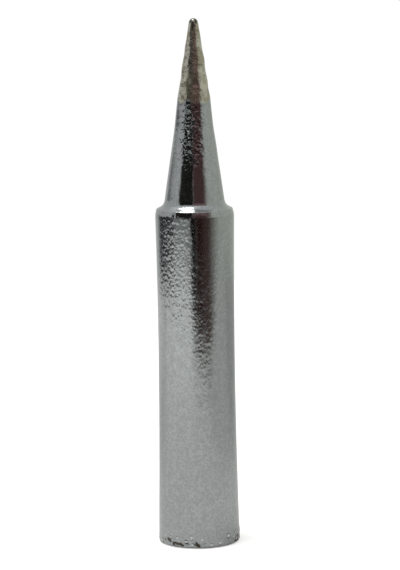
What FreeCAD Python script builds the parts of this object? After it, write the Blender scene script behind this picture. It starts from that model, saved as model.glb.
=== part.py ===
"""Conical soldering iron tip: one turned and plated piece of copper.

A straight barrel slides over the iron's heater and stands on its open rear face.
In front of the barrel a stepped shoulder, rounded at both edges, takes the iron's
retaining sleeve. The cone beyond it ends in a small ball, and its front half is
tinned, which leaves a thin coat of solder that swells gently between its two ends.
Plating gathers at sharp edges, so the barrel is slimmest a little forward of its
middle and grows slowly to the shoulder and to the rear rim. The heater bore is
blind, drilled from the rear, with a drill point that stops short of the shoulder.

Frame: millimetres, +Z along the tip towards the apex, origin at the centre of the
open rear face.
"""

import FreeCAD, Part
import os

import Sketcher
from FreeCAD import Vector

NODE = "soldering_tip"

DRIVING_SIZES = [
    # alias, value, meaning
    ("barrel_length", 28.2, "rear face to the shoulder"),
    ("barrel_waist_diameter", 6.4, "barrel at its slimmest"),
    ("rear_edge_buildup", 0.235, "how far the rear rim stands out beyond the waist, on the radius"),
    ("front_edge_buildup", 0.09, "how far the shoulder stands out beyond the waist, on the radius"),
    ("rear_edge_round", 0.22, "radius round the outside of the rear rim"),
    ("shoulder_edge_round", 0.3, "radius round the outside of the shoulder"),
    ("shoulder_foot_fillet", 0.3, "hollow radius where the cone leaves the shoulder"),
    ("cone_length", 15.8, "shoulder to the apex"),
    ("cone_base_diameter", 5.2, "cone carried on down to the shoulder, without its hollow radius"),
    ("apex_radius", 0.39, "ball at the working end"),
    ("tinned_length", 7.2, "apex to the edge of the tinned zone"),
    ("tinned_bulge", 0.02, "how far the solder coat swells beyond the straight cone"),
    ("bore_diameter", 4.2, "heater bore"),
    ("bore_stop_gap", 1.7, "end of the full bore back from the shoulder"),
    ("drill_point_angle", 118.0, "degrees across the blind end of the bore"),
    ("bore_mouth_chamfer", 0.3, "chamfer at the mouth of the bore, measured on the radius"),
]
BORE_CHAMFER_ANGLE = 90.0  # degrees across the mouth, so the chamfer is as deep as it is wide
FULL_TURN = 360.0

# Sizes that follow from the driving ones, as expressions on the sheet.
WAIST_RADIUS = "sizes.barrel_waist_diameter / 2"
SHOULDER_HEIGHT = "sizes.barrel_length"
CONE_BASE_RADIUS = "sizes.cone_base_diameter / 2"
BALL_DROP = "(sizes.cone_length - sizes.apex_radius)"  # shoulder to the centre of the ball
BALL_HEIGHT = f"sizes.barrel_length + {BALL_DROP}"
# The bare cone is straight and just touches the ball.
CONE_HALF_ANGLE = (
    f"(atan({CONE_BASE_RADIUS} / {BALL_DROP})"
    f" - asin(sizes.apex_radius / sqrt(({CONE_BASE_RADIUS}) ^ 2 + {BALL_DROP} ^ 2)))"
)
BARE_LENGTH = "(sizes.cone_length - sizes.tinned_length)"
TINNED_EDGE_RADIUS = f"{CONE_BASE_RADIUS} - {BARE_LENGTH} * tan({CONE_HALF_ANGLE})"
TINNED_EDGE_HEIGHT = f"sizes.barrel_length + {BARE_LENGTH}"
# An arc over a chord as long as the tinned zone, with the bulge as its depth.
COAT_RADIUS = "sizes.tinned_length ^ 2 / (8 * sizes.tinned_bulge)"
BORE_DEPTH = "sizes.barrel_length - sizes.bore_stop_gap"
BORE_MOUTH_DIAMETER = "sizes.bore_diameter + 2 * sizes.bore_mouth_chamfer"

# The points of a sketch element, as the sketcher numbers them.
START, END, CENTRE = range(1, 4)
SKETCH_ORIGIN = (-1, START)
OUT_OF_SKETCH = Vector(0, 0, 1)


def make_sheet(doc):
    """The driving dimensions, one to a row: name, value and meaning."""
    sheet = doc.addObject("Spreadsheet::Sheet", "sizes")
    for row, (alias, value, meaning) in enumerate(DRIVING_SIZES, start=1):
        sheet.set(f"A{row}", alias)
        sheet.set(f"B{row}", str(value))
        sheet.set(f"C{row}", meaning)
        sheet.setAlias(f"B{row}", alias)
    doc.recompute()
    return sheet


def value_of(sheet, expression):
    """What an expression on the sheet comes to, as a plain number."""
    result = sheet.evalExpression(expression)
    return float(getattr(result, "Value", result))


def new_sketch(body, name, role):
    """A sketch in the body, flat on the body's own origin plane with that role."""
    sketch = body.newObject("Sketcher::SketchObject", name)
    plane = next(o for o in body.Origin.OriginFeatures if o.Role == role)
    sketch.AttachmentSupport = [(plane, "")]
    sketch.MapMode = "FlatFace"
    return sketch


def bind(sketch, sheet, name, size, kind, *where):
    """Adds a named dimension to the sketch and binds it to an expression on the sheet."""
    index = sketch.addConstraint(Sketcher.Constraint(kind, *where, value_of(sheet, size)))
    sketch.renameConstraint(index, name)
    sketch.setExpression(f"Constraints.{name}", size)


def barrel_curve(sheet):
    """The waisted side of the barrel: a shallow parabola with its vertex at the waist."""
    low = value_of(sheet, "sizes.rear_edge_round")
    high = value_of(sheet, "sizes.barrel_length - sizes.shoulder_edge_round")
    # A parabola stands out with the square of the distance from its vertex.
    rear_share = value_of(sheet, "sqrt(sizes.rear_edge_buildup)")
    front_share = value_of(sheet, "sqrt(sizes.front_edge_buildup)")
    rear_arm = (high - low) * rear_share / (rear_share + front_share)
    focal_length = (rear_arm / rear_share) ** 2 / 4
    vertex = Vector(value_of(sheet, WAIST_RADIUS), low + rear_arm, 0)
    parabola = Part.Parabola(vertex + Vector(focal_length, 0, 0), vertex, OUT_OF_SKETCH)
    return Part.ArcOfParabola(parabola, -rear_arm, high - low - rear_arm)


def arc_about(centre, radius, first, last):
    """An arc round the centre, anticlockwise from one direction to the other."""
    middle = (first + last).normalize()
    return Part.Arc(centre + first * radius, centre + middle * radius, centre + last * radius)


def draw_turned_profile(sketch, sheet):
    """Half of the outline: rear face, rim, waisted side, shoulder, cone, solder coat and ball."""

    def point(radius, height):
        return Vector(value_of(sheet, radius), value_of(sheet, height), 0)

    root, out, forward = Vector(0, 0, 0), Vector(1, 0, 0), Vector(0, 1, 0)
    cone_normal = point(f"cos({CONE_HALF_ANGLE})", f"sin({CONE_HALF_ANGLE})")
    side_curve = barrel_curve(sheet)
    rear_round = value_of(sheet, "sizes.rear_edge_round")
    rear_centre = side_curve.StartPoint - out * rear_round
    rim_arc = arc_about(rear_centre, rear_round, -forward, out)
    front_round = value_of(sheet, "sizes.shoulder_edge_round")
    front_centre = side_curve.EndPoint - out * front_round
    edge_arc = arc_about(front_centre, front_round, out, forward)
    cone_base = point(CONE_BASE_RADIUS, SHOULDER_HEIGHT)
    foot_round = value_of(sheet, "sizes.shoulder_foot_fillet")
    foot_centre = cone_base + (out + forward) * foot_round
    foot_arc = arc_about(foot_centre, foot_round, -cone_normal, -forward)
    tinned_edge = point(TINNED_EDGE_RADIUS, TINNED_EDGE_HEIGHT)
    ball_round = value_of(sheet, "sizes.apex_radius")
    ball_arc = arc_about(point("0", BALL_HEIGHT), ball_round, cone_normal, forward)
    bulge = value_of(sheet, "sizes.tinned_bulge")
    coat_crest = (tinned_edge + ball_arc.StartPoint) / 2 + cone_normal * bulge

    rear_face, rim, side, edge, shoulder, foot, cone, coat, ball, axis = sketch.addGeometry(
        [
            Part.LineSegment(root, rim_arc.StartPoint),
            rim_arc,
            side_curve,
            edge_arc,
            Part.LineSegment(edge_arc.EndPoint, foot_arc.EndPoint),
            foot_arc,
            Part.LineSegment(foot_arc.StartPoint, tinned_edge),
            Part.Arc(tinned_edge, coat_crest, ball_arc.StartPoint),
            ball_arc,
            Part.LineSegment(ball_arc.EndPoint, root),
        ]
    )
    cone_base_mark = sketch.addGeometry(Part.Point(cone_base), True)
    # This adds the focus of the side's parabola, then its axis.
    sketch.exposeInternalGeometry(side)
    side_axis = sketch.GeometryCount - 1

    for kind, *where in [
        ("Coincident", rear_face, START, *SKETCH_ORIGIN),
        ("Horizontal", rear_face),
        ("Tangent", rear_face, END, rim, START),
        ("Tangent", rim, END, side, START),
        ("Horizontal", side_axis),
        ("Tangent", side, END, edge, START),
        ("Tangent", edge, END, shoulder, START),
        ("Horizontal", shoulder),
        ("Tangent", shoulder, END, foot, END),
        ("Tangent", foot, START, cone, START),
        ("PointOnObject", cone_base_mark, START, cone),
        ("Coincident", cone, END, coat, START),
        ("Tangent", coat, END, ball, START),
        ("Coincident", ball, END, axis, START),
        ("PointOnObject", ball, CENTRE, axis),
        ("Coincident", axis, END, *SKETCH_ORIGIN),
        ("Vertical", axis),
    ]:
        sketch.addConstraint(Sketcher.Constraint(kind, *where))
    for name, size, kind, *where in [
        ("waist_radius", WAIST_RADIUS, "DistanceX", *SKETCH_ORIGIN, side, CENTRE),
        ("rear_buildup", "sizes.rear_edge_buildup", "DistanceX", side, CENTRE, side, START),
        ("front_buildup", "sizes.front_edge_buildup", "DistanceX", side, CENTRE, side, END),
        ("rear_round", "sizes.rear_edge_round", "Radius", rim),
        ("shoulder_round", "sizes.shoulder_edge_round", "Radius", edge),
        ("shoulder_height", SHOULDER_HEIGHT, "DistanceY", *SKETCH_ORIGIN, shoulder, START),
        ("foot_round", "sizes.shoulder_foot_fillet", "Radius", foot),
        ("cone_base_radius", CONE_BASE_RADIUS, "DistanceX", *SKETCH_ORIGIN, cone_base_mark, START),
        ("cone_base_height", SHOULDER_HEIGHT, "DistanceY", *SKETCH_ORIGIN, cone_base_mark, START),
        ("tinned_edge_radius", TINNED_EDGE_RADIUS, "DistanceX", *SKETCH_ORIGIN, cone, END),
        ("tinned_edge_height", TINNED_EDGE_HEIGHT, "DistanceY", *SKETCH_ORIGIN, cone, END),
        ("coat_radius", COAT_RADIUS, "Radius", coat),
        ("ball_height", BALL_HEIGHT, "DistanceY", *SKETCH_ORIGIN, ball, CENTRE),
        ("ball_radius", "sizes.apex_radius", "Radius", ball),
    ]:
        bind(sketch, sheet, name, size, kind, *where)


def drill_heater_bore(body, sheet):
    """A blind hole up from the rear face, with a drill point and a chamfered mouth."""
    sketch = new_sketch(body, "bore_place", "XY_Plane")
    radius = value_of(sheet, "sizes.bore_diameter / 2")
    circle = sketch.addGeometry(Part.Circle(Vector(0, 0, 0), OUT_OF_SKETCH, radius))
    sketch.addConstraint(Sketcher.Constraint("Coincident", circle, CENTRE, *SKETCH_ORIGIN))
    bind(sketch, sheet, "bore_diameter", "sizes.bore_diameter", "Diameter", circle)
    body.Document.recompute()
    hole = body.newObject("PartDesign::Hole", "heater_bore")
    hole.Profile = sketch
    body.Document.recompute()
    hole.Reversed = True
    hole.ThreadType = "None"
    hole.DepthType = "Dimension"
    hole.DrillPoint = "Angled"
    hole.DrillForDepth = False
    hole.HoleCutType = "Countersink"
    hole.HoleCutCustomValues = True
    hole.HoleCutCountersinkAngle = BORE_CHAMFER_ANGLE
    hole.setExpression("Diameter", "sizes.bore_diameter")
    hole.setExpression("Depth", BORE_DEPTH)
    hole.setExpression("DrillPointAngle", "sizes.drill_point_angle")
    hole.setExpression("HoleCutDiameter", BORE_MOUTH_DIAMETER)
    body.Document.recompute()


def make_tip(doc, sheet):
    """The whole tip: turned in one piece, then drilled from the rear."""
    body = doc.addObject("PartDesign::Body", NODE)
    body.Label = NODE
    profile = new_sketch(body, "turned_profile", "XZ_Plane")
    draw_turned_profile(profile, sheet)
    doc.recompute()
    turned = body.newObject("PartDesign::Revolution", "turned_blank")
    turned.Profile = profile
    turned.ReferenceAxis = (profile, ["V_Axis"])
    turned.Angle = FULL_TURN
    doc.recompute()
    blank_volume = turned.Shape.Volume
    drill_heater_bore(body, sheet)
    if body.Shape.Volume >= blank_volume:
        raise RuntimeError("the heater bore took nothing out of the blank")
    return body


def stop_on_fault(doc, body):
    """Raises an error if a feature failed or the body isn't one sound solid."""
    for thing in doc.Objects:
        if "Invalid" in thing.State or "Error" in thing.State:
            raise RuntimeError(f"{thing.Label} failed: {thing.State}")
    if body.Shape.isNull() or not body.Shape.isValid() or len(body.Shape.Solids) != 1:
        raise RuntimeError(f"{body.Label} isn't one valid solid")


def main():
    doc = FreeCAD.newDocument("tip")
    sheet = make_sheet(doc)
    tip = make_tip(doc, sheet)
    stop_on_fault(doc, tip)
    os.makedirs("parts", exist_ok=True)
    tip.Shape.exportStep(os.path.join("parts", tip.Label + ".step"))
    print(f"{tip.Label}: {tip.Shape.Volume:.2f} mm3, {tip.Shape.BoundBox}")


main()
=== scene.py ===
"""Conical soldering iron tip: plated barrel, rounded shoulder and a cone with a tinned point.

The tip is one skin of revolution, from the blind end of its heater bore, out over the
rear rim and up to the apex. Lengths in the formulas are millimetres in the frame of the
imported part: +Z towards the apex, origin at the centre of the open rear face.
"""

from math import asin, atan, cos, degrees, hypot, pi, radians, sin, sqrt, tan
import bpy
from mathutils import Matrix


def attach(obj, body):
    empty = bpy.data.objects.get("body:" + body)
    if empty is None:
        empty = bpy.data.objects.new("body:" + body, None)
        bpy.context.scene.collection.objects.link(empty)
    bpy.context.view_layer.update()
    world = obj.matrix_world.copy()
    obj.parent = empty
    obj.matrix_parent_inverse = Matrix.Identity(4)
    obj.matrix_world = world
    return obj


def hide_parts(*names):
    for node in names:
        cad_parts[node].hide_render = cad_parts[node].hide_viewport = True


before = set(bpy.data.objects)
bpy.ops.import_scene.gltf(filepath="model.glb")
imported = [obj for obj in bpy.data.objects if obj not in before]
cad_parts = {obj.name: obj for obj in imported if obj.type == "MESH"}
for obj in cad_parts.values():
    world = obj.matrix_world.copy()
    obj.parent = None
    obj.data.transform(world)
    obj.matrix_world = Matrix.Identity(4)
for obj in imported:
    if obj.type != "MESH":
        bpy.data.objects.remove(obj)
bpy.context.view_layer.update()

from types import SimpleNamespace

import bpy
import numpy as np
from bpy.props import FloatProperty, FloatVectorProperty, IntProperty, PointerProperty
from mathutils import Matrix, Vector

bl_info = {
    "name": "Conical Soldering Tip",
    "version": (1, 0, 0),
    "blender": (4, 5, 0),
    "location": "View3D > Sidebar > Soldering Tip",
    "description": "Builds a plated conical soldering iron tip and the studio that it stands in",
    "category": "Add Mesh",
}

NODE = "soldering_tip"
BODY = "root"
MM = 0.001
MICRON = 1e-6
FRONT = radians(-90)  # the side of the tip that faces the camera


def linear(hex_colour, alpha=1.0):
    """An sRGB colour written as hex, as linear red, green, blue and alpha."""
    srgb = np.array([int(hex_colour[i : i + 2], 16) / 255 for i in (1, 3, 5)])
    light = np.where(srgb <= 0.04045, srgb / 12.92, ((srgb + 0.055) / 1.055) ** 2.4)
    return (*light.tolist(), alpha)


def length(name, description, millimetres):
    """A length, with its default written in millimetres."""
    return FloatProperty(
        name=name, description=description, default=millimetres * MM, precision=5, unit="LENGTH"
    )


def colour(name, description, hex_colour):
    """A colour, with its default written as sRGB hex."""
    return FloatVectorProperty(
        name=name, description=description, default=linear(hex_colour), size=4, subtype="COLOR"
    )


def angle(name, description, in_degrees):
    """An angle, with its default written in degrees."""
    return FloatProperty(
        name=name, description=description, default=radians(in_degrees), unit="ROTATION"
    )


def level(name, description, value):
    """A plain number from 0 up."""
    return FloatProperty(name=name, description=description, default=value, min=0.0)


class TipSizes(bpy.types.PropertyGroup):
    """Sizes of the tip."""

    barrel_length: length("Barrel length", "Rear face to the shoulder", 28.2)
    barrel_waist_radius: length("Waist radius", "Barrel at its slimmest", 3.2)
    rear_edge_buildup: length("Rear build-up", "Rear rim beyond the waist, on the radius", 0.235)
    front_edge_buildup: length("Front build-up", "Shoulder beyond the waist, on the radius", 0.09)
    rear_edge_round: length("Rim rounding", "Radius round the rear rim", 0.22)
    shoulder_edge_round: length("Shoulder rounding", "Radius round the shoulder", 0.3)
    brow_inset: length("Brow inset", "How far the shoulder's edge draws in from the barrel", 0.11)
    brow_drop: length("Brow drop", "How far down the barrel the edge starts to draw in", 0.60)
    brow_radius: length("Brow radius", "Rounding of the shoulder's edge", 0.09)
    brow_lean: angle("Brow lean", "Lean of the barrel's side just below its edge", 15.0)
    shoulder_lean: angle("Shoulder lean", "Lean of the hollow shoulder just inside its edge", 64.0)
    hollow_height: length("Hollow height", "How far up the cone the hollow shoulder reaches", 0.88)
    cone_length: length("Cone length", "Shoulder to the apex", 15.8)
    cone_base_radius: length("Cone base radius", "Cone carried on down to the shoulder", 2.6)
    apex_radius: length("Apex radius", "Ball at the working end", 0.39)
    apex_offset: length("Apex offset", "How far the cone leans to the right at its apex", 0.124)
    tinned_length: length("Tinned length", "Apex to the edge of the solder", 7.2)
    tinned_bulge: length("Solder swelling", "Solder coat beyond the straight cone", 0.02)
    bore_radius: length("Bore radius", "Heater bore", 2.1)
    bore_depth: length("Bore depth", "Full bore from the rear face", 26.5)
    bore_mouth_chamfer: length("Mouth chamfer", "Chamfer at the mouth of the bore", 0.3)
    drill_point_angle: angle("Drill point", "Across the blind end of the bore", 118.0)
    columns: IntProperty(name="Columns", description="Faces around the tip", default=256, min=24)


class TipFinish(bpy.types.PropertyGroup):
    """Colours of the tip's finishes."""

    plate: colour("Plate", "Satin chromium plate", "#B5B9B9")
    plate_shade: colour("Plate, duller streaks", "Where the plate is a little thinner", "#A0A4A4")
    # Painted highlight: a lighter plate on the tops of the rim's nodules, standing in for their lit
    # tops.
    plate_painted_highlight: colour("Plate, rubbed", "Nodules on the rim that are rubbed bright", "#EDEBF0")
    tarnish: colour("Tarnish", "Burnt flux at the rim", "#40382A")
    burnt: colour("Burnt end", "Burnt flux at the apex", "#2A2722")
    solder: colour("Solder", "Tinned coat on the cone", "#C8C6B8")
    solder_dull: colour("Solder, dull patches", "Oxide and flux varnish on the solder", "#ABA592")
    heat_tint: colour("Heat tint", "Blue-grey line on the plate along the solder", "#66727F")
    copper: colour("Copper", "Wall of the drilled bore", "#A9745A")
    copper_heat: colour("Copper, heat tint", "Where the heater has browned it", "#5E4034")


class TipStudio(bpy.types.PropertyGroup):
    """Camera, sheet and light."""

    camera_distance: length("Camera distance", "Lens to the tip's axis, along the floor", 208.7)
    camera_height: length("Camera height", "Lens above the floor", 51.477)
    camera_pitch: angle("Camera pitch", "How far the camera looks down", 8.0967)
    camera_roll: angle("Camera roll", "Turn about the line of sight", -0.8129)
    camera_yaw: angle("Camera yaw", "Turn about the upright", -0.0988)
    focal_pixels: level("Focal length in pixels", "For an image 570 pixels high", 2521.562)
    sheet: colour("Sheet", "Matt white paper that the tip stands on", "#E0E0DE")
    sheet_reach: length("Sheet reach", "White sheet from the tip to its edge, most ways", 158.0)
    sheet_front: length("Sheet front", "White sheet from the tip to its edge in front", 100.0)
    surround: level("Surround", "Brightness of the room around the tip", 0.6)
    overhead: level("Overhead", "Brightness of the ceiling", 1.0)
    lamp_power: level("Lamp power", "Soft box above and a little left of the tip, in watts", 0.31)
    lamp_length: length("Lamp length", "Long side of the soft box", 150.0)
    lamp_width: length("Lamp width", "Short side of the soft box", 75.0)
    lamp_left: length("Lamp to the left", "Soft box left of the tip's axis", 56.0)
    lamp_front: length("Lamp to the front", "Soft box in front of the tip's axis", 12.0)
    lamp_height: length("Lamp height", "Soft box above the floor", 250.0)


def in_millimetres(group):
    """The sizes of a property group as plain numbers, with its lengths in millimetres."""
    sizes = {}
    for name, kind in group.bl_rna.properties.items():
        if kind.type == "FLOAT" and kind.unit == "LENGTH":
            sizes[name] = getattr(group, name) / MM
        elif kind.type in {"FLOAT", "INT"}:
            sizes[name] = getattr(group, name)
    return SimpleNamespace(**sizes)


def arc(centre, radius, first, last, steps):
    """Arc in the half-plane of the profile: the centre plus radius times (cos a, sin a)."""
    a = np.radians(np.linspace(first, last, steps))
    return np.column_stack([centre[0] + radius * np.cos(a), centre[1] + radius * np.sin(a)])


def run(start, end, steps, crowding=0.0):
    """Straight run of points: start + e (end - start), where e = t - k sin(2 pi t) / 2 pi.

    The crowding k runs from 0, evenly spaced, to 1, crowded at both ends.
    """
    t = np.linspace(0, 1, steps)
    e = (t - crowding * np.sin(2 * pi * t) / (2 * pi))[:, None]
    return np.asarray(start) * (1 - e) + np.asarray(end) * e


def bezier(first, toward, back, last, steps):
    """Cubic curve: (1-t)^3 first + 3 (1-t)^2 t toward + 3 (1-t) t^2 back + t^3 last."""
    t = np.linspace(0, 1, steps)[:, None]
    return (
        (1 - t) ** 3 * np.asarray(first)
        + 3 * (1 - t) ** 2 * t * np.asarray(toward)
        + 3 * (1 - t) * t**2 * np.asarray(back)
        + t**3 * np.asarray(last)
    )


def barrel_side(s):
    """Side of the barrel: the parabola r = waist + buildup ((z - vertex) / arm)^2.

    It grows to the rear rim and to the shoulder, and the arm to each of them is in
    proportion to the square root of its build-up.
    """
    low, high = s.rear_edge_round, s.barrel_length - s.shoulder_edge_round
    shares = sqrt(s.rear_edge_buildup), sqrt(s.front_edge_buildup)
    arm = (high - low) * shares[0] / sum(shares)
    side = run((0, low), (0, s.barrel_length - s.brow_drop), steps=128, crowding=0.72)
    from_waist = (side[:, 1] - low - arm) / arm
    side[:, 0] = s.barrel_waist_radius + s.rear_edge_buildup * from_waist**2
    return side


def shoulder(s, side_top, slope):
    """The shoulder as the plate softens it, in three stretches.

    A cubic curve draws the side in to a small arc, the brow, and another cubic curve runs
    hollow from there up to the cone.
    """
    # How far the handles of the two curves pull.
    side_pull, brow_pull = 0.4 * s.brow_drop, 0.3 * s.brow_drop
    shoulder_pull, cone_pull = 0.50, 0.55 * s.hollow_height

    brow = np.array([s.barrel_waist_radius + s.front_edge_buildup - s.brow_inset, s.barrel_length])
    brow_centre = brow - s.brow_radius * np.array([cos(s.brow_lean), sin(s.brow_lean)])
    up_side = np.array([-sin(s.brow_lean), cos(s.brow_lean)])
    up_shoulder = np.array([-sin(s.shoulder_lean), cos(s.shoulder_lean)])
    down_cone = np.array([slope, -1])
    hollow_end = np.array([s.cone_base_radius, s.barrel_length]) - s.hollow_height * down_cone

    draw_in = bezier(
        side_top, side_top + (0, side_pull), brow - brow_pull * up_side, brow, steps=14
    )
    round_brow = arc(
        brow_centre, s.brow_radius, degrees(s.brow_lean), degrees(s.shoulder_lean), steps=7
    )
    hollow = bezier(
        round_brow[-1],
        round_brow[-1] + shoulder_pull * up_shoulder,
        hollow_end + cone_pull * down_cone,
        hollow_end,
        steps=22,
    )
    return draw_in, round_brow, hollow


def turned_profile(s):
    """Half-section of the tip as radius and height, with the zone of each ring.

    Drill cone, bore wall, mouth chamfer, rear face, rim arc, barrel side, shoulder,
    straight cone, solder coat and ball, as on the part. The coat swells from the straight
    cone by 4 bulge t (1 - t), and the ball touches the cone's side.
    """
    drop = s.cone_length - s.apex_radius
    half_angle = atan(s.cone_base_radius / drop) - asin(
        s.apex_radius / hypot(s.cone_base_radius, drop)
    )
    slope = tan(half_angle)
    normal = np.array([cos(half_angle), sin(half_angle)])
    ball_centre = np.array([0.0, s.barrel_length + drop])
    bare_length = s.cone_length - s.tinned_length
    coat_edge = (s.cone_base_radius - bare_length * slope, s.barrel_length + bare_length)
    coat = run(coat_edge, ball_centre + s.apex_radius * normal, steps=56)
    t = np.linspace(0, 1, len(coat))[:, None]
    coat = coat + 4 * s.tinned_bulge * t * (1 - t) * normal

    side = barrel_side(s)
    draw_in, round_brow, hollow = shoulder(s, side[-1], slope)
    rim_centre = (
        s.barrel_waist_radius + s.rear_edge_buildup - s.rear_edge_round,
        s.rear_edge_round,
    )
    blind_end = (0, s.bore_depth + s.bore_radius / tan(s.drill_point_angle / 2))
    bore_end = (s.bore_radius, s.bore_depth)
    chamfer_end = (s.bore_radius, s.bore_mouth_chamfer)
    mouth = (s.bore_radius + s.bore_mouth_chamfer, 0)
    stretches = [
        ("bore", run(blind_end, bore_end, steps=6)),
        ("bore", run(bore_end, chamfer_end, steps=24)),
        ("plate", run(chamfer_end, mouth, steps=4)),
        ("plate", run(mouth, (rim_centre[0], 0), steps=8)),
        ("plate", arc(rim_centre, s.rear_edge_round, -90, 0, steps=13)),
        ("plate", side),
        ("plate", draw_in),
        ("plate", round_brow),
        ("plate", hollow),
        ("plate", run(hollow[-1], coat_edge, steps=56)),
        ("solder", coat),
        ("solder", arc(ball_centre, s.apex_radius, degrees(half_angle), 90, steps=15)),
    ]
    points, zones = [stretches[0][1][:1]], []
    for zone, stretch in stretches:
        points.append(stretch[1:])
        zones += [zone] * (len(stretch) - 1)
    return np.concatenate(points), np.array(zones)


def hill(distance, width, power=2):
    """A smooth hill, 1 in its middle: exp(-(distance / width)^power)."""
    return np.exp(-((distance / width) ** power))


def climb(value, start, stop):
    """A straight climb from 0 at the start to 1 at the stop, and level outside them."""
    return np.clip((value - start) / (stop - start), 0, 1)


def swell(theta, z, seed, around, along, waves=28):
    """Seeded unevenness between about -1 and 1: a sum of cos(m theta + k z + p).

    The whole number m runs up to `around` waves about the axis, and k up to one wave in
    `along` millimetres, so the pattern closes on itself at the seam.
    """
    rng = np.random.default_rng(seed)
    m = rng.integers(-around, around + 1, waves)[:, None, None]
    k = rng.uniform(-2 * pi / along, 2 * pi / along, waves)[:, None, None]
    p = rng.uniform(0, 2 * pi, waves)[:, None, None]
    return np.cos(m * theta + k * z + p).sum(axis=0) / sqrt(waves)


def turn_from(theta, bearing):
    """Angle of each column from a bearing, in degrees right of the front, from -180 to 180."""
    away = np.degrees(theta - FRONT) - bearing
    return (away + 180) % 360 - 180


def blot(theta, z, bearing, height, across, tall, radius):
    """A soft round patch on a skin of that radius: exp(-(arc / across)^2 - (rise / tall)^2)."""
    arc_length = np.radians(turn_from(theta, bearing)) * radius
    return hill(arc_length, across) * hill(z - height, tall)


# Radius of the skin at the rear rim and at the dents in the apex, where widths are measured.
RIM_RADIUS, DENTED_RADIUS = 3.4, 0.35

# Nodules where plating has gathered on the rear rim, with a trace of burnt flux round each:
# bearing, height, width, tallness, rise and how dark the trace is.
RIM_NODULES = [
    (-66, 0.32, 0.19, 0.19, 0.040, 0.9),
    (-57, 0.85, 0.13, 0.13, 0.030, 0.5),
    (-49, 1.22, 0.11, 0.10, 0.025, 0.4),
    (-44, 1.06, 0.10, 0.11, 0.025, 0.4),
    (-45, 0.84, 0.12, 0.12, 0.030, 0.5),
    (-36, 0.32, 0.15, 0.14, 0.040, 0.7),
    (-33, 0.85, 0.13, 0.13, 0.030, 0.3),
    (-19, 0.62, 0.20, 0.12, 0.035, 0.4),
    (-11, 0.95, 0.12, 0.22, 0.040, 0.5),
    (-10, 0.34, 0.16, 0.14, 0.030, 0.4),
    (4, 0.78, 0.14, 0.12, 0.022, 0.3),
    (17, 0.30, 0.24, 0.12, 0.020, 0.3),
    (31, 0.40, 0.26, 0.13, 0.025, 0.2),
    (46, 0.86, 0.20, 0.20, 0.040, 0.9),
    (57, 0.66, 0.13, 0.14, 0.035, 0.8),
    (63, 0.98, 0.12, 0.14, 0.030, 0.8),
    (66, 0.42, 0.16, 0.16, 0.040, 0.9),
    (73, 0.36, 0.20, 0.20, 0.040, 0.7),
    (84, 0.95, 0.22, 0.24, 0.040, 0.6),
    (104, 0.40, 0.22, 0.20, 0.040, 0.6),
    (112, 0.85, 0.15, 0.16, 0.030, 0.5),
    (139, 0.60, 0.18, 0.20, 0.035, 0.5),
    (163, 0.35, 0.24, 0.18, 0.040, 0.6),
    (-168, 0.75, 0.16, 0.20, 0.035, 0.5),
    (-142, 0.35, 0.20, 0.17, 0.040, 0.6),
    (-120, 0.60, 0.18, 0.22, 0.035, 0.5),
    (-98, 0.45, 0.20, 0.20, 0.040, 0.6),
    (-80, 0.60, 0.16, 0.16, 0.035, 0.5),
]

# The trace lies where a nodule has this share of its rise, in a ring this wide, and fades
# out below the last share.
NODULE_FOOT, FOOT_WIDTH, FOOT_END = 0.3, 0.17, 0.1

# Blots of burnt flux on the rim: bearing, height, width, tallness, strength.
RIM_STAINS = [
    (-66, 0.20, 0.16, 0.16, 0.75),
    (-57, 0.52, 0.16, 0.10, 0.8),
    (-49, 0.66, 0.20, 0.17, 1.1),
    (-45, 0.46, 0.14, 0.12, 0.8),
    (-39, 0.30, 0.20, 0.16, 1.1),
    (-29, 0.36, 0.26, 0.17, 1.4),
    (-24, 0.24, 0.18, 0.09, 0.9),
    (-17, 0.42, 0.24, 0.07, 0.8),
    (-4, 0.46, 0.15, 0.18, 1.1),
    (-1, 0.24, 0.16, 0.20, 1.4),
    (7, 0.46, 0.16, 0.07, 0.6),
    (3, 0.34, 0.12, 0.10, 0.6),
    (13, 0.62, 0.10, 0.08, 0.5),
    (58, 0.98, 0.12, 0.10, 0.7),
    (62, 0.26, 0.30, 0.12, 0.6),
    (70, 0.50, 0.12, 0.30, 0.9),
    (80, 0.34, 0.30, 0.26, 0.9),
    (88, 0.80, 0.24, 0.30, 0.8),
    (126, 0.45, 0.30, 0.14, 0.9),
    (152, 0.62, 0.20, 0.16, 0.8),
    (-170, 0.38, 0.34, 0.16, 1.0),
    (-130, 0.36, 0.22, 0.14, 0.9),
    (-108, 0.26, 0.24, 0.16, 0.8),
]

# A fine swell breaks the flux up: its level, the swell's share and the most that it gives.
FLUX_LEVEL, FLUX_BREAKS, FLUX_MOST = 0.85, 0.42, 1.3

# The rear end is drawn in towards the rim, on the left more than on the right.
DRAWN_LEFT, DRAWN_RIGHT, DRAWN_TALL = 0.0351, 0.0091, 2.2

# Low swells of the skin: rise, seed, most waves around and shortest wave along.
BARREL_SWELL = (0.0045, 11, 9, 5.0)
BROW_SWELL = (0.012, 51, 14, 2.0)
CONE_SWELL = (0.004, 12, 10, 2.4)
SOLDER_SWELL = (0.016, 21, 6, 1.1)

# Rings of the cone that stand out or in, by height from the edge of the solder: the neck
# behind the solder, the solder's fullest place and the bead along its edge. Height,
# tallness and rise.
CONE_RINGS = [
    (-1.9, 1.10, -0.022),
    (3.0, 1.00, 0.030),
    (0.1, 0.28, 0.014),
]

# Dents in the apex, dark with burnt flux: bearing, drop below the apex, width, tallness, depth.
APEX_DENTS = [
    (-50, 0.33, 0.12, 0.15, 0.032),
    (-8, 0.68, 0.07, 0.36, 0.025),
    (36, 0.34, 0.12, 0.20, 0.032),
    (165, 0.50, 0.16, 0.22, 0.035),
]

# The working end sits this much inside the part's, over this length from the apex.
END_WORN, END_TALL = 0.012, 0.34

# How burnt the dents are, and the end itself with its swell.
DENT_BURNT, END_BURNT, END_BURNT_SWELL = 0.75, 0.3, 0.5

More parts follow.
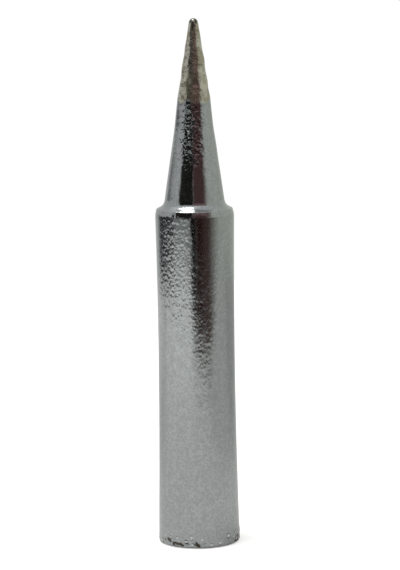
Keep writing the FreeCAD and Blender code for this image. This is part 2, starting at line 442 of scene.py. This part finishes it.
# The solder's edge lies this far up from its place on the part, give or take the wander,
# and rings up to this far from it go with it.
EDGE_SHIFT, EDGE_WANDER, EDGE_REACH = 0.38, 0.16, 1.6

# Sides on which the upper barrel is coarser: bearing and half the width, in degrees, and
# the heights between which that fades in.
COARSE_SIDES = [(-40, 46), (150, 50)]
COARSE_FROM, COARSE_FULL = 13.0, 22.0

# How strongly the plate is pebbled everywhere, on those sides of the barrel, and along the
# shoulder on its left.
PEBBLED, PEBBLED_SIDES, PEBBLED_SHOULDER = 0.1, 0.17, 0.5

# The dimples' share round the whole cone. In front they have their full depth.
DIMPLED_AROUND = 0.1

# Places on the plate: bearing and half the width in degrees, then height above the
# shoulder or above the edge of the solder, and tallness.
SHOULDER_GRAIN = (-42, 42, -0.3, 0.38)
CONE_DIMPLES = (-8, 30, -2.4, 2.6)

# The heat tint on the plate: height above the edge of the solder, tallness, level and swell.
HEAT_LINE = (-0.35, 0.45, 0.6, 0.3)


def uneven(theta, z, rise, seed, around, along):
    """A swell of the skin: the rise times the seeded unevenness."""
    return rise * swell(theta, z, seed, around, along)


def rim_wear(theta, z):
    """Nodules, burnt flux and a painted highlight round the rear rim.

    The rise is the sum of the nodules. The flux is a ring round the foot of each, plus the
    blots, broken up by a fine swell. The painted highlight, a lighter plate that stands in
    for the lit tops, is strongest where a nodule stands highest.
    """
    rise, stain, painted_highlight = np.zeros((3, z.shape[0], theta.shape[1]))
    for bearing, height, width, tall, lift, darkness in RIM_NODULES:
        nodule = blot(theta, z, bearing, height, width, tall, RIM_RADIUS)
        foot = hill(nodule - NODULE_FOOT, FOOT_WIDTH) * climb(nodule, 0, FOOT_END)
        rise = rise + lift * nodule
        stain = stain + darkness * foot
        # Painted highlight: lighter plate on the top of each nodule, strongest where it stands
        # highest.
        painted_highlight = np.maximum(painted_highlight, nodule)
    for bearing, height, width, tall, strength in RIM_STAINS:
        stain = stain + strength * blot(theta, z, bearing, height, width, tall, RIM_RADIUS)
    breaks = swell(theta, z, seed=31, around=64, along=0.34, waves=60)
    stain = stain * np.clip(FLUX_LEVEL + FLUX_BREAKS * breaks, 0, FLUX_MOST)
    return rise, stain, painted_highlight


def end_wear(theta, z, apex):
    """Fall of the surface and burning at the working end: in its dents, and over its ball."""
    fall, burnt = np.zeros((2, z.shape[0], theta.shape[1]))
    for bearing, drop, width, tall, depth in APEX_DENTS:
        dent = blot(theta, z, bearing, apex - drop, width, tall, DENTED_RADIUS)
        fall = fall + depth * dent
        burnt = burnt + DENT_BURNT * dent
    ending = hill(apex - z, END_TALL)
    fall = fall + END_WORN * ending
    patchy = swell(theta, z, seed=61, around=3, along=0.8)
    return fall, burnt + ending * (END_BURNT + END_BURNT_SWELL * patchy)


def plate_coarseness(s, theta, z, on_barrel, edge):
    """How strongly the plate is pebbled, and how strongly it is dimpled on the cone.

    The pebbles are coarser high on two sides of the barrel and along the shoulder's edge,
    and the dimples are deepest on the front of the cone, just behind the solder.
    """
    sides = sum(hill(turn_from(theta, bearing), half) for bearing, half in COARSE_SIDES)
    high = climb(z, COARSE_FROM, COARSE_FULL) * on_barrel
    bearing, half, above, tall = SHOULDER_GRAIN
    shoulder_left = hill(turn_from(theta, bearing), half)
    shoulder_left = shoulder_left * hill(z - s.barrel_length - above, tall)
    grain = PEBBLED + PEBBLED_SIDES * sides * high + PEBBLED_SHOULDER * shoulder_left
    bearing, half, above, tall = CONE_DIMPLES
    facing = hill(turn_from(theta, bearing), half, power=4)
    behind_solder = hill(z - edge - above, tall, power=4)
    hammer = behind_solder * (DIMPLED_AROUND + (1 - DIMPLED_AROUND) * facing)
    return grain, hammer


def skin_surface(s):
    """The tip's skin on a grid of rings and columns, with its marks and its zones.

    X(ring, theta) is the turned profile plus a rise along its normal. Low swells run over
    all the outside. The barrel is drawn in to the rear rim, which has nodules. The cone has
    a neck and a swelling, the solder a bead along its wavy edge, and the apex has dents.
    """
    profile, zones = turned_profile(s)
    theta = FRONT + np.linspace(0, 2 * pi, s.columns, endpoint=False)[None, :]
    r, z = profile[:, :1], profile[:, 1:]
    tangent = np.gradient(profile, axis=0)
    tangent /= np.linalg.norm(tangent, axis=1, keepdims=True)
    normal_r, normal_z = tangent[:, 1:], -tangent[:, :1]

    # Where the outside and its parts lie, from 0 to 1, with soft borders under 1 mm wide.
    inside = np.arange(len(profile))[:, None] < np.argmax(zones == "plate")
    outer = np.where(inside, 0.0, 1.0)
    apex = s.barrel_length + s.cone_length
    edge = apex - s.tinned_length
    on_barrel = (1 - climb(z, s.barrel_length - 0.4, s.barrel_length + 0.4)) * outer
    at_brow = hill(z - s.barrel_length, 0.3) * outer
    on_cone = climb(z, s.barrel_length + 0.3, s.barrel_length + 0.9)
    on_solder = climb(z, edge, edge + 0.6)
    # The solder's lumps grow lower over its last 3 mm, down to a quarter.
    thin_out = np.maximum(climb(apex - z, 0, 3.0), 0.25)

    wander = EDGE_WANDER * swell(theta, 0 * z, seed=5, around=7, along=9.0)
    shift = (EDGE_SHIFT + wander) * hill(z - edge, EDGE_REACH) * on_cone
    rightward = (1 + np.cos(theta)) / 2
    drawn = DRAWN_LEFT + (DRAWN_RIGHT - DRAWN_LEFT) * rightward
    rise = uneven(theta, z, *BARREL_SWELL) * on_barrel - drawn * hill(z, DRAWN_TALL) * outer
    rise = rise + uneven(theta, z, *BROW_SWELL) * at_brow
    nodules, stain, painted_highlight = rim_wear(theta, z)
    rise = rise + nodules * outer + uneven(theta, z, *CONE_SWELL) * on_cone
    for height, tall, lift in CONE_RINGS:
        rise = rise + lift * hill(z - edge - height, tall) * on_cone
    rise = rise + uneven(theta, z, *SOLDER_SWELL) * on_solder * thin_out
    fall, burnt = end_wear(theta, z, apex)
    rise = rise - fall * on_solder

    radius = np.maximum(r + rise * normal_r, 0.0)
    height = np.where(inside, z, np.maximum(z + shift + rise * normal_z, 0))
    # The first and last ring are single points on the axis.
    for pole in (0, -1):
        radius[pole] = 0.0
        height[pole] = height[pole].mean()
    lean = s.apex_offset * climb(z, s.barrel_length, apex) * outer
    x, y = radius * np.cos(theta) + lean, radius * np.sin(theta)

    grain, hammer = plate_coarseness(s, theta, z, on_barrel, edge)
    above, tall, heat_level, heat_swell = HEAT_LINE
    patchy = swell(theta, z, seed=41, around=14, along=2.0)
    heat = hill(z - edge - above, tall) * (heat_level + heat_swell * patchy)
    marks = {
        "stain": np.clip(stain * outer, 0, 1),
        # Painted highlight on the tops of the rim's nodules.
        "painted_highlight": painted_highlight * outer,
        "burnt": np.clip(burnt * on_solder, 0, 1),
        "heat": np.clip(heat, 0, 1),
        "grain": grain,
        "hammer": hammer * on_cone,
    }
    return np.stack([x, y, height], axis=-1), marks, zones


def ring_quads(rings, columns, first=0):
    """Corner numbers of the quads between rings, whose points are numbered from the first on.

    Face (i, j) joins ring i, column j to ring i + 1, column j + 1, and the last column
    joins the first.
    """
    start = first + np.arange(rings)[:, None] * columns
    column = np.arange(columns)[None, :]
    after = (column + 1) % columns
    lower, upper = start[:-1], start[1:]
    quads = np.stack([lower + column, lower + after, upper + after, upper + column], axis=-1)
    return quads.reshape(-1, 4)


def skin_faces(rings, columns):
    """Faces of the skin, whose first and last ring are single points with a fan round them."""
    column = np.arange(columns)
    after = (column + 1) % columns
    last_ring = 1 + (rings - 3) * columns
    top = np.full(columns, last_ring + columns)
    first_fan = np.stack([0 * column, 1 + after, 1 + column], axis=-1)
    last_fan = np.stack([last_ring + column, last_ring + after, top], axis=-1)
    quads = ring_quads(rings - 2, columns, first=1)
    return first_fan.tolist() + quads.tolist() + last_fan.tolist()


def without_pole_copies(grid):
    """A grid's points as a list, with one each of the first and the last ring."""
    return np.concatenate([grid[:1, 0], np.concatenate(grid[1:-1]), grid[-1:, 0]])


HARD_EDGE = radians(34)  # edges sharper than this aren't smoothed


def skin_object(s, materials):
    """The skin as a mesh object, in metres, with a finish for each zone."""
    points, marks, zones = skin_surface(s)
    rings, columns = points.shape[:2]
    vertices = without_pole_copies(points) * MM
    faces = skin_faces(rings, columns)
    mesh = bpy.data.meshes.new("tip_skin")
    mesh.from_pydata(vertices.tolist(), [], faces)
    order = ["plate", "solder", "bore"]
    finish = np.repeat([order.index(zone) for zone in zones], columns)
    for zone in order:
        mesh.materials.append(materials[zone])
    mesh.polygons.foreach_set("material_index", finish.astype(np.int32))
    mesh.polygons.foreach_set("use_smooth", np.ones(len(faces), bool))
    for name, mark in marks.items():
        values = without_pole_copies(np.broadcast_to(mark, (rings, columns)))
        attribute = mesh.attributes.new(name, "FLOAT", "POINT")
        attribute.data.foreach_set("value", values.astype(np.float32))
    mesh.set_sharp_from_angle(angle=HARD_EDGE)
    mesh.update()
    skin = bpy.data.objects.new("tip_skin", mesh)
    bpy.context.scene.collection.objects.link(skin)
    return skin


def add(tree, kind, inputs=None, **settings):
    """Adds a node: its settings by name, and each input as a value, a socket or a node.

    A node given as an input is linked by the first of its outputs that is in use.
    """
    node = tree.nodes.new(kind)
    for name, value in settings.items():
        setattr(node, name, value)
    for key, value in (inputs or {}).items():
        if isinstance(value, bpy.types.Node):
            value = next(output for output in value.outputs if output.enabled)
        if isinstance(value, bpy.types.NodeSocket):
            tree.links.new(value, node.inputs[key])
        else:
            node.inputs[key].default_value = value
    return node


# Kinds of node, the sockets of a Mix node that mixes colours, and settings.
MAP, MIX, MATH = "ShaderNodeMapRange", "ShaderNodeMix", "ShaderNodeMath"
NOISE, PEBBLES = "ShaderNodeTexNoise", "ShaderNodeTexVoronoi"
BUMP, METAL = "ShaderNodeBump", "ShaderNodeBsdfPrincipled"
FACTOR, FIRST, SECOND = 0, 6, 7
SMOOTH = {"interpolation_type": "SMOOTHSTEP"}
COLOURS = {"data_type": "RGBA"}


def new_material(name):
    """A material with an empty node tree."""
    material = bpy.data.materials.new(name)
    material.use_nodes = True
    material.node_tree.nodes.clear()
    return material, material.node_tree


def tinted(tree, base, layers):
    """The base colour under layers of tint.

    Each layer is the value that it follows, where that starts and is full, how much of the
    tint shows there, and the tint.
    """
    for value, start, full, most, tint in layers:
        share = add(
            tree, MAP, {"Value": value, "From Min": start, "From Max": full, "To Max": most}, **SMOOTH
        )
        base = add(tree, MIX, {FACTOR: share, FIRST: base, SECOND: tint[:]}, **COLOURS)
    return base


def graded(tree, steps):
    """The product of smooth steps.

    Each step is the value that it follows, where it starts and stops, and what it gives
    before and beyond.
    """
    product = 1.0
    for value, start, stop, before, beyond in steps:
        step = add(
            tree,
            MAP,
            {"Value": value, "From Min": start, "From Max": stop, "To Min": before, "To Max": beyond},
            **SMOOTH,
        )
        product = add(tree, MATH, {0: product, 1: step}, operation="MULTIPLY")
    return product


def satin_chromium_plate(finish):
    """Chromium plate over blasted copper: bright but satin, pebbled like orange peel.

    The pebbles are 0.2 mm across, so dark things reflected in it break up into specks.
    They are drawn out upright, because a reflection squeezes them that way. On the cone
    the plate is dimpled as well, 0.3 mm from dimple to dimple. The fine mottle of the
    blasting is some 0.05 mm in the real plate, and is drawn at 0.17 mm. The tops of the
    nodules on the rim have a painted highlight, a lighter plate that stands in for their
    lit tops. Heat leaves a blue-grey line, and burnt flux leaves brown stains.
    """
    material, tree = new_material("satin chromium plate")
    place = add(tree, "ShaderNodeTexCoord").outputs["Object"]
    tall = add(tree, "ShaderNodeMapping", {"Vector": place, "Scale": (1, 1, 0.72)})
    pebbles = add(
        tree,
        PEBBLES,
        {"Vector": tall, "Scale": 1 / (0.22 * MM), "Smoothness": 0.7, "Randomness": 1.0},
        feature="SMOOTH_F1",
    )
    grit = add(tree, NOISE, {"Vector": tall, "Scale": 1 / (0.15 * MM), "Detail": 2.0})
    dimples = add(tree, NOISE, {"Vector": place, "Scale": 1 / (0.34 * MM), "Detail": 1.0})
    peel = add(tree, NOISE, {"Vector": place, "Scale": 1 / (0.7 * MM), "Detail": 1.0})
    clouds = add(tree, NOISE, {"Vector": tall, "Scale": 1 / (0.45 * MM), "Detail": 3.0})
    mottle = add(tree, NOISE, {"Vector": place, "Scale": 1 / (0.17 * MM), "Detail": 2.0})
    stain, heat, painted_highlight, grain, hammer = (
        add(tree, "ShaderNodeAttribute", attribute_name=name).outputs["Fac"]
        for name in ("stain", "heat", "painted_highlight", "grain", "hammer")
    )

    layers = (
        (clouds, 0.3, 0.7, 0.5, finish.plate_shade),
        (mottle, 0.38, 0.66, 0.9, finish.plate_shade),
    )
    base = tinted(tree, finish.plate[:], layers)
    base = add(tree, MIX, {FACTOR: heat, FIRST: base, SECOND: finish.heat_tint[:]}, **COLOURS)
    # A painted highlight on the tops of the rim's nodules, then the brown stains of burnt flux.
    layers = (
        (painted_highlight, 0.5, 0.9, 0.75, finish.plate_painted_highlight),
        (stain, 0.25, 0.75, 0.92, finish.tarnish),
    )
    base = tinted(tree, base, layers)

    satin = add(
        tree,
        MAP,
        {"Value": clouds, "From Min": 0.3, "From Max": 0.7, "To Min": 0.10, "To Max": 0.14},
        **SMOOTH,
    )
    roughness = add(tree, MATH, {0: stain, 1: 0.25, 2: satin}, operation="MULTIPLY_ADD")
    normal = add(tree, BUMP, {"Height": peel, "Distance": 6 * MICRON})
    for relief, strength, depth in ((pebbles, grain, 34), (grit, grain, 22), (dimples, hammer, 112)):
        normal = add(
            tree,
            BUMP,
            {"Height": relief, "Strength": strength, "Distance": depth * MICRON, "Normal": normal},
        )
    metal = add(
        tree,
        METAL,
        {"Base Color": base, "Metallic": 1.0, "Roughness": roughness, "Normal": normal},
    )
    add(tree, "ShaderNodeOutputMaterial", {"Surface": metal})
    return material


def hot_tinned_solder(finish):
    """Solder wiped on hot: warm grey, with dull olive patches of oxide and flux.

    It set in lumps of 0.5 mm and beads of 0.34 mm, so it glints unevenly. Its finest grain
    is some 0.05 mm and is drawn at 0.15 mm. The working end is burnt brown.
    """
    material, tree = new_material("hot-tinned solder")
    place = add(tree, "ShaderNodeTexCoord").outputs["Object"]
    patches = add(tree, NOISE, {"Vector": place, "Scale": 1 / (0.9 * MM), "Detail": 3.0})
    specks = add(tree, NOISE, {"Vector": place, "Scale": 1 / (0.28 * MM), "Detail": 2.0})
    lumps = add(tree, NOISE, {"Vector": place, "Scale": 1 / (0.5 * MM), "Detail": 2.0})
    beads = add(
        tree,
        PEBBLES,
        {"Vector": place, "Scale": 1 / (0.34 * MM), "Smoothness": 0.8, "Randomness": 1.0},
        feature="SMOOTH_F1",
    )
    fine = add(tree, NOISE, {"Vector": place, "Scale": 1 / (0.15 * MM), "Detail": 2.0})
    burnt = add(tree, "ShaderNodeAttribute", attribute_name="burnt").outputs["Fac"]

    layers = (
        (patches, 0.42, 0.62, 1.0, finish.solder_dull),
        (specks, 0.57, 0.7, 0.5, finish.tarnish),
        (burnt, 0.2, 0.8, 0.95, finish.burnt),
    )
    base = tinted(tree, finish.solder[:], layers)
    roughness = add(
        tree,
        MAP,
        {"Value": patches, "From Min": 0.35, "From Max": 0.65, "To Min": 0.20, "To Max": 0.32},
        **SMOOTH,
    )
    normal = add(tree, BUMP, {"Height": lumps, "Distance": 34 * MICRON})
    for relief, depth in ((beads, 26), (fine, 12)):
        normal = add(tree, BUMP, {"Height": relief, "Distance": depth * MICRON, "Normal": normal})
    metal = add(
        tree,
        METAL,
        {"Base Color": base, "Metallic": 0.97, "Roughness": roughness, "Normal": normal},
    )
    add(tree, "ShaderNodeOutputMaterial", {"Surface": metal})
    return material


def drilled_copper(finish):
    """Drilled copper: fine turning marks 0.2 mm apart, browned where the heater sat."""
    material, tree = new_material("drilled copper")
    place = add(tree, "ShaderNodeTexCoord").outputs["Object"]
    # A Wave texture repeats every pi / 10 of its scaled coordinate.
    marks = add(
        tree,
        "ShaderNodeTexWave",
        {"Vector": place, "Scale": pi / 10 / (0.2 * MM), "Distortion": 0.6, "Detail": 1.0},
        wave_type="BANDS",
        bands_direction="Z",
    ).outputs["Fac"]
    tint = add(tree, NOISE, {"Vector": place, "Scale": 1 / (3.0 * MM), "Detail": 3.0})
    base = tinted(tree, finish.copper[:], ((tint, 0.4, 0.65, 1.0, finish.copper_heat),))
    roughness = add(
        tree,
        MAP,
        {"Value": tint, "From Min": 0.3, "From Max": 0.7, "To Min": 0.3, "To Max": 0.45},
        **SMOOTH,
    )
    normal = add(tree, BUMP, {"Height": marks, "Distance": 12 * MICRON})
    metal = add(
        tree,
        METAL,
        {"Base Color": base, "Metallic": 1.0, "Roughness": roughness, "Normal": normal},
    )
    add(tree, "ShaderNodeOutputMaterial", {"Surface": metal})
    return material


class OBJECT_OT_add_tip_skin(bpy.types.Operator):
    """Builds the tip's skin, from its heater bore over the rim to the apex"""

    bl_idname = "object.add_tip_skin"
    bl_label = "Add Tip"

    def execute(self, context):
        finish = context.scene.tip_finish
        materials = {
            "plate": satin_chromium_plate(finish),
            "solder": hot_tinned_solder(finish),
            "bore": drilled_copper(finish),
        }
        skin = skin_object(in_millimetres(context.scene.tip_sizes), materials)
        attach(skin, BODY)
        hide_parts(NODE)
        return {"FINISHED"}


# The room's walls and ceiling, left and right of the tip, as shares of their brightness.
WALLS = ((1.0, 1.0, 1.0), (0.98, 1.0, 0.93))
CEILING = ((0.85, 0.85, 0.85), (0.62, 0.62, 0.62))

# The left side becomes the right one between these bearings, in radians right of the
# camera, and the walls become the ceiling between these heights, in degrees.
RIGHT_SIDE = (0.3, 0.9)
CEILING_EDGE = (38, 52)

# What stands round the tip and shows in its plating, drawn in this order: bearing right of
# the camera and height above the level, both from and to in degrees, with how soft each
# side is, and a colour.
SURROUNDINGS = [
    ((-76, -14), (-60, 1), (6, 3), (1, 4), "#8D918F"),
    ((58, 160), (-60, 3), (12, 10), (1, 3), "#C2C6BD"),
    ((-64, -5), (3, 35), (5, 3), (3, 5), "#201F1D"),
    ((-5, 46), (3, 40), (3, 12), (3, 5), "#574140"),
    ((-5, 46), (20, 40), (3, 12), (3, 5), "#8A7073"),
    ((-14, 4), (-60, 5), (3, 4), (1, 3), "#100D0E"),
    ((3, 60), (-60, 5), (4, 24), (1, 3), "#4A3A36"),
    ((3, 24), (-60, 5), (4, 10), (1, 3), "#301C1B"),
    ((-131, -64), (-60, 3), (13, 9), (1, 3), "#34383B"),
    ((-118, -106), (4, 12), (5, 4), (2, 1.5), "#B5B8B5"),
]


def make_surroundings(studio):
    """A pale room with a bright ceiling and a few dark things in it, white to the camera."""
    world = bpy.data.worlds.new("pale room")
    world.use_nodes = True
    bpy.context.scene.world = world
    tree = world.node_tree
    tree.nodes.clear()
    direction = add(tree, "ShaderNodeTexCoord").outputs["Generated"]
    parts = add(tree, "ShaderNodeSeparateXYZ", {0: direction}).outputs
    ahead = add(tree, MATH, {0: parts["Y"], 1: -1.0}, operation="MULTIPLY")
    bearing = add(tree, MATH, {0: parts["X"], 1: ahead}, operation="ARCTAN2")
    height = add(tree, MATH, {0: parts["Z"]}, operation="ARCSINE")
    to_right = add(
        tree,
        MAP,
        {"Value": bearing, "From Min": RIGHT_SIDE[0], "From Max": RIGHT_SIDE[1]},
        **SMOOTH,
    )
    upward = add(
        tree,
        MAP,
        {"Value": height, "From Min": radians(CEILING_EDGE[0]), "From Max": radians(CEILING_EDGE[1])},
        **SMOOTH,
    )
    walls, ceiling = (
        add(
            tree,
            MIX,
            {
                FACTOR: to_right,
                FIRST: [brightness * share for share in left] + [1],
                SECOND: [brightness * share for share in right] + [1],
            },
            **COLOURS,
        )
        for brightness, (left, right) in ((studio.surround, WALLS), (studio.overhead, CEILING))
    )
    shown = add(tree, MIX, {FACTOR: upward, FIRST: walls, SECOND: ceiling}, **COLOURS)
    for (left, right), (low, high), (soft_l, soft_r), (soft_b, soft_t), shade in SURROUNDINGS:
        there = graded(
            tree,
            (
                (bearing, radians(left - soft_l), radians(left + soft_l), 0, 1),
                (bearing, radians(right - soft_r), radians(right + soft_r), 1, 0),
                (height, radians(low - soft_b), radians(low + soft_b), 0, 1),
                (height, radians(high - soft_t), radians(high + soft_t), 1, 0),
            ),
        )
        shown = add(tree, MIX, {FACTOR: there, FIRST: shown, SECOND: linear(shade)}, **COLOURS)
    seen = add(tree, "ShaderNodeLightPath").outputs["Is Camera Ray"]
    shown = add(tree, MIX, {FACTOR: seen, FIRST: shown, SECOND: (1, 1, 1, 1)}, **COLOURS)
    glow = add(tree, "ShaderNodeBackground", {"Color": shown, "Strength": 1.0})
    add(tree, "ShaderNodeOutputWorld", {"Surface": glow})


SHEET_DROP = 0.02 * MM  # how far below the tip the sheet lies
SHEET_CUT = (22, 38)  # where the sheet is cut short: bearing and half the width, in degrees
SHEET_COLUMNS, SHEET_RINGS = 96, 13
GLOW_SEEN = 0.55  # what the paper adds to its shaded white for the camera


def matt_white_paper(studio):
    """Matt white paper, as white as the background to the camera, with the tip's shadow on it.

    In the plating only, it has painted shade, darker close by the tip, on the right and
    behind, and a painted glow that keeps it as pale far off as in the middle and dims at its
    far edge.
    """
    material, tree = new_material("matt white paper")
    place = add(tree, "ShaderNodeTexCoord").outputs["Object"]
    rays = add(tree, "ShaderNodeLightPath").outputs
    parts = add(tree, "ShaderNodeSeparateXYZ", {0: place}).outputs
    right, back = parts["X"], parts["Y"]
    away = add(tree, "ShaderNodeVectorMath", {0: place}, operation="LENGTH").outputs["Value"]
    # Painted shade, seen only in the plating: the paper's white is darker close by the tip, on the
    # right and behind.
    painted_shade = graded(
        tree,
        (
            (away, 35 * MM, 70 * MM, 0.97, 1.02),
            (right, 20 * MM, 60 * MM, 1.0, 0.8),
            (back, 0.0, 40 * MM, 1.0, 0.8),
        ),
    )
    # Painted glow, seen only in the plating: the paper far off glows to look as pale as in the
    # middle, less on the right and behind, and dims at its far edge.
    painted_far_glow = graded(
        tree,
        (
            (away, 60 * MM, 135 * MM, 0.0, 0.35),
            (away, 138 * MM, 165 * MM, 1.0, 0.3),
            (right, -30 * MM, 50 * MM, 1.0, 0.15),
            (back, -60 * MM, 0.0, 1.0, 0.6),
        ),
    )
    white, mirrored = studio.sheet[:], rays["Is Glossy Ray"]
    painted_shade_white = add(tree, MIX, {FACTOR: painted_shade, FIRST: (0, 0, 0, 1), SECOND: white}, **COLOURS)
    shown = add(tree, MIX, {FACTOR: mirrored, FIRST: white, SECOND: painted_shade_white}, **COLOURS)
    glow = add(tree, MATH, {0: painted_far_glow, 1: mirrored}, operation="MULTIPLY")
    glow = add(
        tree, MATH, {0: rays["Is Camera Ray"], 1: GLOW_SEEN, 2: glow}, operation="MULTIPLY_ADD"
    )
    paper = add(tree, "ShaderNodeBsdfDiffuse", {"Color": shown})
    light = add(tree, "ShaderNodeEmission", {"Color": (1, 1, 1, 1), "Strength": glow})
    both = add(tree, "ShaderNodeAddShader", {0: paper, 1: light})
    add(tree, "ShaderNodeOutputMaterial", {"Surface": both})
    return material


def make_floor(studio):
    """A white sheet under the tip, cut short in front.

    Its points are (R t cos a, R t sin a), with t as the squares of even steps, and R falls
    from the reach to the front distance as exp(-((bearing - middle) / half)^4).
    """
    a = FRONT + np.linspace(0, 2 * pi, SHEET_COLUMNS, endpoint=False)[None, :]
    middle, half = SHEET_CUT
    short = hill(turn_from(a, middle), half, power=4)
    radius = studio.sheet_reach + (studio.sheet_front - studio.sheet_reach) * short
    t = np.linspace(0, 1, SHEET_RINGS + 1)[1:, None] ** 2
    x, y = radius * t * np.cos(a), radius * t * np.sin(a)
    vertices = np.stack([x, y, np.full_like(x, -SHEET_DROP)], axis=-1).reshape(-1, 3)
    middle_face = list(range(SHEET_COLUMNS))
    quads = ring_quads(SHEET_RINGS, SHEET_COLUMNS)[:, ::-1]
    mesh = bpy.data.meshes.new("white_sheet")
    mesh.from_pydata(vertices.tolist(), [], [middle_face] + quads.tolist())
    mesh.update()
    mesh.materials.append(matt_white_paper(studio))
    floor = bpy.data.objects.new("white_sheet", mesh)
    bpy.context.scene.collection.objects.link(floor)


def make_lamp(studio):
    """A long soft box over the tip and to its left, facing the tip."""
    data = bpy.data.lights.new("soft_box", "AREA")
    data.shape = "RECTANGLE"
    data.size = studio.lamp_length
    data.size_y = studio.lamp_width
    data.energy = studio.lamp_power
    lamp = bpy.data.objects.new("soft_box", data)
    bpy.context.scene.collection.objects.link(lamp)
    lamp.location = Vector((-studio.lamp_left, -studio.lamp_front, studio.lamp_height))
    lamp.rotation_euler = lamp.location.to_track_quat("Z", "Y").to_euler()


SENSOR = 36.0  # width of the camera's sensor, in millimetres
IMAGE_LONG_SIDE = 570  # pixels


def make_camera(studio):
    """The camera, with its place and turn fitted to the outline of a tip 44 mm long."""
    data = bpy.data.cameras.new("camera")
    data.sensor_width = SENSOR
    data.lens = studio.focal_pixels * SENSOR / IMAGE_LONG_SIDE
    data.clip_start = 0.01
    data.clip_end = 10.0
    camera = bpy.data.objects.new("camera", data)
    bpy.context.scene.collection.objects.link(camera)
    place = Matrix.Translation((0, -studio.camera_distance, studio.camera_height))
    turn = (
        Matrix.Rotation(studio.camera_yaw, 4, "Z")
        @ Matrix.Rotation(pi / 2 - studio.camera_pitch, 4, "X")
        @ Matrix.Rotation(studio.camera_roll, 4, "Z")
    )
    camera.matrix_world = place @ turn
    bpy.context.scene.camera = camera


class SCENE_OT_set_tip_studio(bpy.types.Operator):
    """Sets up the white sheet, the pale room, the lamp and the camera"""

    bl_idname = "scene.set_tip_studio"
    bl_label = "Set Up Studio"

    def execute(self, context):
        studio = context.scene.tip_studio
        make_floor(studio)
        make_surroundings(studio)
        make_lamp(studio)
        make_camera(studio)
        context.scene.view_settings.view_transform = "Standard"
        return {"FINISHED"}


class VIEW3D_PT_soldering_tip(bpy.types.Panel):
    """Lists the tip, its studio and their settings"""

    bl_label = "Soldering Tip"
    bl_idname = "VIEW3D_PT_soldering_tip"
    bl_space_type = "VIEW_3D"
    bl_region_type = "UI"
    bl_category = "Soldering Tip"

    def draw(self, context):
        for group, operator in (
            ("tip_sizes", OBJECT_OT_add_tip_skin),
            ("tip_finish", None),
            ("tip_studio", SCENE_OT_set_tip_studio),
        ):
            box = self.layout.box()
            settings = getattr(context.scene, group)
            for name in settings.bl_rna.properties.keys():
                if name not in {"rna_type", "name"}:
                    box.prop(settings, name)
            if operator:
                box.operator(operator.bl_idname)


CLASSES = (
    TipSizes,
    TipFinish,
    TipStudio,
    OBJECT_OT_add_tip_skin,
    SCENE_OT_set_tip_studio,
    VIEW3D_PT_soldering_tip,
)


def register():
    for entry in CLASSES:
        bpy.utils.register_class(entry)
    bpy.types.Scene.tip_sizes = PointerProperty(type=TipSizes)
    bpy.types.Scene.tip_finish = PointerProperty(type=TipFinish)
    bpy.types.Scene.tip_studio = PointerProperty(type=TipStudio)


def unregister():
    del bpy.types.Scene.tip_studio
    del bpy.types.Scene.tip_finish
    del bpy.types.Scene.tip_sizes
    for entry in reversed(CLASSES):
        bpy.utils.unregister_class(entry)


def main():
    register()
    bpy.ops.scene.set_tip_studio()
    bpy.ops.object.add_tip_skin()


if __name__ == "__main__":
    main()
